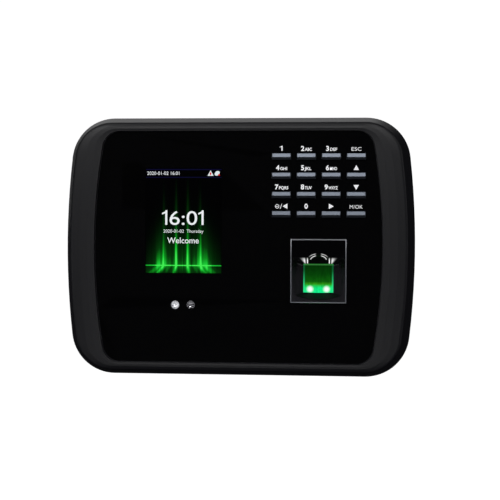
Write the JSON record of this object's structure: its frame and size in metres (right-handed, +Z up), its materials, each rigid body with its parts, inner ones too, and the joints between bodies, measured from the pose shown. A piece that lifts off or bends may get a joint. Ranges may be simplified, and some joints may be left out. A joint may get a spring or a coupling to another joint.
{
  "type": "wall-mounted fingerprint terminal",
  "caption": "Wall-hung fingerprint terminal: bowed satin case, glossy window over a portrait display, slim silver keys and a scooped optical finger window, lifting off a hooked wall plate.",
  "frame": {"origin": "centre of the wall plate's back face, on the wall", "axes": "+X to the right seen from the front, +Z up, +Y into the wall; the front faces -Y"},
  "size_m": [0.1992, 0.0372, 0.1468],
  "materials": {
    "case": "fine satin texture",
    "window": "polished clear acrylic",
    "mask": "printed film",
    "silicone": "moulded silicone",
    "board": "solder mask",
    "steel": "zinc plated",
    "display": "lit panel",
    "tray": "moulded white tray",
    "steel_sheet": "stamped sheet",
    "camera_barrel": "bright turned metal",
    "lens": "coated glass",
    "gloss_black": "high gloss",
    "prism": "polished optical glass",
    "chip": "moulded epoxy",
    "relay": "moulded",
    "capacitor": "sleeved can",
    "socket_shield": "tin plated shield",
    "white_nylon": "moulded nylon",
    "ribbon": "polyimide film",
    "plate": "powder coated",
    "key": "silver lacquer"
  },
  "bodies": {
    "wall_mount": {"wall_plate": "plate", "security_screw": "steel"},
    "terminal": {"front_shell": "case", "rear_shell": "case", "front_window": "window", "window_mask": "mask", "keypad_mat": "silicone", "keypad_board": "board", "board_screws": "steel", "case_screws": "steel", "display_glass": "display", "display_backlight": "tray", "display_bracket": "steel_sheet", "camera_board": "board", "visible_camera": "camera_barrel", "infrared_camera": "camera_barrel", "camera_lenses": "lens", "reader_bezel": "gloss_black", "reader_prism": "prism", "reader_holder": "gloss_black", "reader_lens": "lens", "reader_board": "board", "reader_lights": "board", "main_board": "board", "processor": "chip", "memory_chips": "chip", "door_relay": "relay", "capacitors": "capacitor", "clock_cell": "steel_sheet", "ethernet_socket": "socket_shield", "power_jack": "chip", "wire_headers": "white_nylon", "usb_socket": "socket_shield", "speaker": "chip", "board_sockets": "white_nylon", "display_ribbon": "ribbon", "camera_ribbon": "ribbon", "keypad_ribbon": "ribbon", "tamper_switch": "chip", "tamper_spring": "steel", "reset_switch": "chip"},
    "key_1_cap": {"key_1": "key"},
    "key_2_cap": {"key_2": "key"},
    "key_3_cap": {"key_3": "key"},
    "key_esc_cap": {"key_esc": "key"},
    "key_4_cap": {"key_4": "key"},
    "key_5_cap": {"key_5": "key"},
    "key_6_cap": {"key_6": "key"},
    "key_up_cap": {"key_up": "key"},
    "key_7_cap": {"key_7": "key"},
    "key_8_cap": {"key_8": "key"},
    "key_9_cap": {"key_9": "key"},
    "key_down_cap": {"key_down": "key"},
    "key_left_cap": {"key_left": "key"},
    "key_0_cap": {"key_0": "key"},
    "key_right_cap": {"key_right": "key"},
    "key_ok_cap": {"key_ok": "key"},
    "plunger": {"tamper_plunger": "white_nylon"},
    "reset": {"reset_button": "white_nylon"}
  },
  "joints": [
    {"name": "terminal_lift", "type": "slide", "parent": "wall_mount", "child": "terminal", "axis": [0, 0, 1], "range_m": [0, 0.006]},
    {"name": "key_1_press", "type": "slide", "parent": "terminal", "child": "key_1_cap", "axis": [0, 1, 0], "range_m": [0, 0.0006], "stiffness_N_per_m": 600, "springref_m": -0.0003},
    {"name": "key_2_press", "type": "slide", "parent": "terminal", "child": "key_2_cap", "axis": [0, 1, 0], "range_m": [0, 0.0006], "stiffness_N_per_m": 600, "springref_m": -0.0003},
    {"name": "key_3_press", "type": "slide", "parent": "terminal", "child": "key_3_cap", "axis": [0, 1, 0], "range_m": [0, 0.0006], "stiffness_N_per_m": 600, "springref_m": -0.0003},
    {"name": "key_esc_press", "type": "slide", "parent": "terminal", "child": "key_esc_cap", "axis": [0, 1, 0], "range_m": [0, 0.0006], "stiffness_N_per_m": 600, "springref_m": -0.0003},
    {"name": "key_4_press", "type": "slide", "parent": "terminal", "child": "key_4_cap", "axis": [0, 1, 0], "range_m": [0, 0.0006], "stiffness_N_per_m": 600, "springref_m": -0.0003},
    {"name": "key_5_press", "type": "slide", "parent": "terminal", "child": "key_5_cap", "axis": [0, 1, 0], "range_m": [0, 0.0006], "stiffness_N_per_m": 600, "springref_m": -0.0003},
    {"name": "key_6_press", "type": "slide", "parent": "terminal", "child": "key_6_cap", "axis": [0, 1, 0], "range_m": [0, 0.0006], "stiffness_N_per_m": 600, "springref_m": -0.0003},
    {"name": "key_up_press", "type": "slide", "parent": "terminal", "child": "key_up_cap", "axis": [0, 1, 0], "range_m": [0, 0.0006], "stiffness_N_per_m": 600, "springref_m": -0.0003},
    {"name": "key_7_press", "type": "slide", "parent": "terminal", "child": "key_7_cap", "axis": [0, 1, 0], "range_m": [0, 0.0006], "stiffness_N_per_m": 600, "springref_m": -0.0003},
    {"name": "key_8_press", "type": "slide", "parent": "terminal", "child": "key_8_cap", "axis": [0, 1, 0], "range_m": [0, 0.0006], "stiffness_N_per_m": 600, "springref_m": -0.0003},
    {"name": "key_9_press", "type": "slide", "parent": "terminal", "child": "key_9_cap", "axis": [0, 1, 0], "range_m": [0, 0.0006], "stiffness_N_per_m": 600, "springref_m": -0.0003},
    {"name": "key_down_press", "type": "slide", "parent": "terminal", "child": "key_down_cap", "axis": [0, 1, 0], "range_m": [0, 0.0006], "stiffness_N_per_m": 600, "springref_m": -0.0003},
    {"name": "key_left_press", "type": "slide", "parent": "terminal", "child": "key_left_cap", "axis": [0, 1, 0], "range_m": [0, 0.0006], "stiffness_N_per_m": 600, "springref_m": -0.0003},
    {"name": "key_0_press", "type": "slide", "parent": "terminal", "child": "key_0_cap", "axis": [0, 1, 0], "range_m": [0, 0.0006], "stiffness_N_per_m": 600, "springref_m": -0.0003},
    {"name": "key_right_press", "type": "slide", "parent": "terminal", "child": "key_right_cap", "axis": [0, 1, 0], "range_m": [0, 0.0006], "stiffness_N_per_m": 600, "springref_m": -0.0003},
    {"name": "key_ok_press", "type": "slide", "parent": "terminal", "child": "key_ok_cap", "axis": [0, 1, 0], "range_m": [0, 0.0006], "stiffness_N_per_m": 600, "springref_m": -0.0003},
    {"name": "tamper_release", "type": "slide", "parent": "terminal", "child": "plunger", "axis": [0, 1, 0], "range_m": [0, 0.0012]},
    {"name": "reset_press", "type": "slide", "parent": "terminal", "child": "reset", "axis": [0, -1, 0], "range_m": [0, 0.0003], "stiffness_N_per_m": 600, "springref_m": -0.0003}
  ],
  "couplings": [
    {"joint": "tamper_release", "follows": "terminal_lift", "ratio": 0.2}
  ]
}
